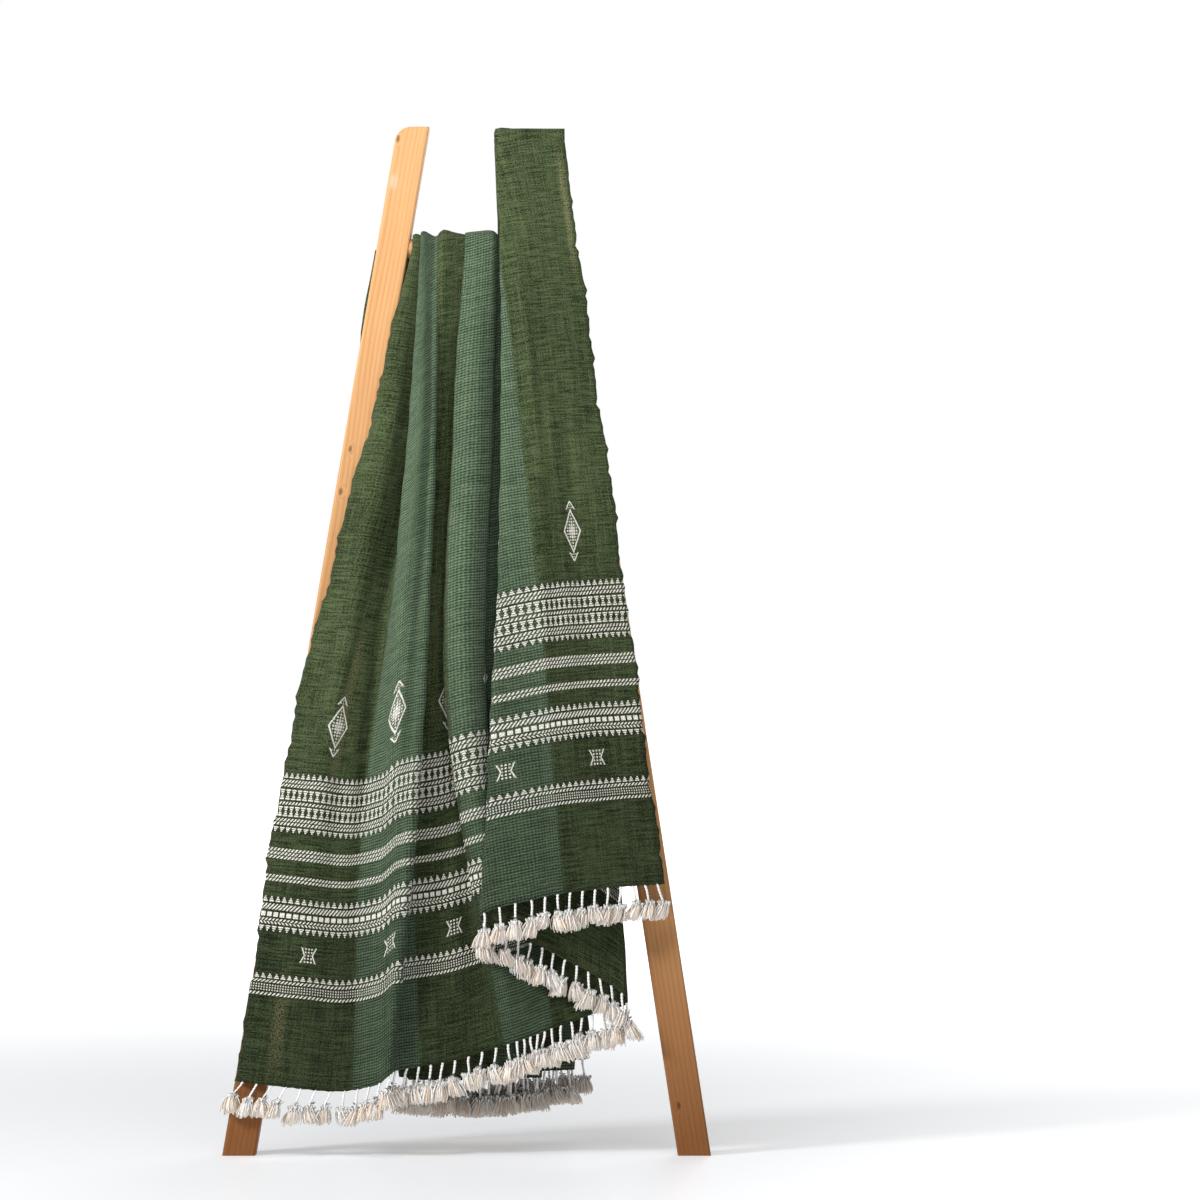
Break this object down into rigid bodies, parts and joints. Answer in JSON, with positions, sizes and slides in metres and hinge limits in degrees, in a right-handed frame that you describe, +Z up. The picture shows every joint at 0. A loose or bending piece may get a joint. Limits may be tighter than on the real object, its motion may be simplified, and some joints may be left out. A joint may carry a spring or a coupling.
{
  "type": "wool throw blanket on a wooden ladder",
  "caption": "Green handwoven wool throw with white border bands and tasselled ends, draped in folds over the top of a small tapering pine ladder that leans on a wall",
  "frame": {"origin": "on the upright planed face at the back of the left rail's head, where the ladder rests on a wall; the floor is 1.2735 m below it", "axes": "+X to the right seen from the front, +Y towards the wall, +Z up"},
  "size_m": [0.601, 0.2564, 1.2846],
  "materials": {
    "pine": "satin oiled pine with open grain, darker towards the feet",
    "green_wool": "matt handwoven wool in olive and blue-green columns with white supplementary-weft bands",
    "white_wool": "matt twisted wool cords and fluffy cut tassels, off-white with a cream core"
  },
  "bodies": {
    "root": {"rail_left": "pine", "rail_right": "pine", "rung_1": "pine", "rung_2": "pine", "rung_3": "pine", "rung_4": "pine", "throw": "green_wool", "fringe_front_left": "white_wool", "fringe_front_fold": "white_wool", "fringe_front_right": "white_wool", "fringe_back_1": "white_wool", "fringe_back_2": "white_wool", "fringe_back_3": "white_wool", "fringe_back_4": "white_wool", "fringe_back_5": "white_wool", "fringe_back_6": "white_wool", "fringe_back_7": "white_wool"}
  },
  "joints": []
}
